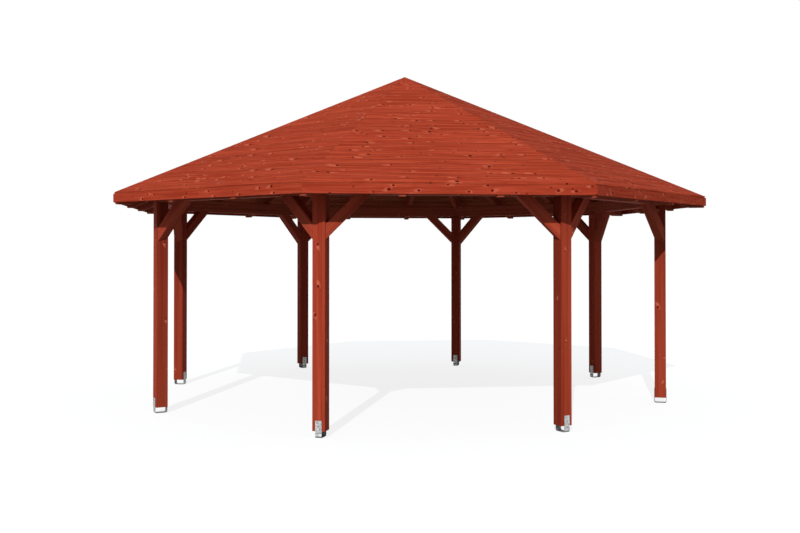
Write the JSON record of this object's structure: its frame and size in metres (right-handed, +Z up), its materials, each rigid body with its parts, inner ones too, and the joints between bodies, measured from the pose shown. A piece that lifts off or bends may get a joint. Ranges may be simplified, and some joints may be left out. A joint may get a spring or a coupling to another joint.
{
  "type": "garden gazebo",
  "caption": "Open octagonal timber garden gazebo: posts on steel anchors, ring beams with knee braces, hip and jack rafters and a boarded pyramid roof.",
  "frame": {"origin": "on the ground, at the middle of the octagon", "axes": "+Z up; -Y is square out of the side that the picture shows nearest, side 1, and the other sides follow anticlockwise seen from above"},
  "size_m": [6.2566, 6.2566, 3.7054],
  "materials": {
    "stained_softwood": "planed spruce or pine under a translucent red-brown stain, satin",
    "galvanised_steel": "hot-dip galvanised flat bar, dull light grey"
  },
  "bodies": {
    "root": {"post_1": "stained_softwood", "ring_beam_1": "stained_softwood", "braces_1": "stained_softwood", "roof_slope_1": "stained_softwood", "post_2": "stained_softwood", "ring_beam_2": "stained_softwood", "braces_2": "stained_softwood", "roof_slope_2": "stained_softwood", "post_3": "stained_softwood", "ring_beam_3": "stained_softwood", "braces_3": "stained_softwood", "roof_slope_3": "stained_softwood", "post_4": "stained_softwood", "ring_beam_4": "stained_softwood", "braces_4": "stained_softwood", "roof_slope_4": "stained_softwood", "post_5": "stained_softwood", "ring_beam_5": "stained_softwood", "braces_5": "stained_softwood", "roof_slope_5": "stained_softwood", "post_6": "stained_softwood", "ring_beam_6": "stained_softwood", "braces_6": "stained_softwood", "roof_slope_6": "stained_softwood", "post_7": "stained_softwood", "ring_beam_7": "stained_softwood", "braces_7": "stained_softwood", "roof_slope_7": "stained_softwood", "post_8": "stained_softwood", "ring_beam_8": "stained_softwood", "braces_8": "stained_softwood", "roof_slope_8": "stained_softwood", "hip_rafters_front": "stained_softwood", "hip_rafters_back": "stained_softwood", "jack_rafters_front": "stained_softwood", "jack_rafters_ends": "stained_softwood", "jack_rafters_back": "stained_softwood", "fascia_odd_sides": "stained_softwood", "fascia_even_sides": "stained_softwood", "king_block": "stained_softwood", "post_anchors_front": "galvanised_steel", "post_anchors_back": "galvanised_steel"}
  },
  "joints": []
}
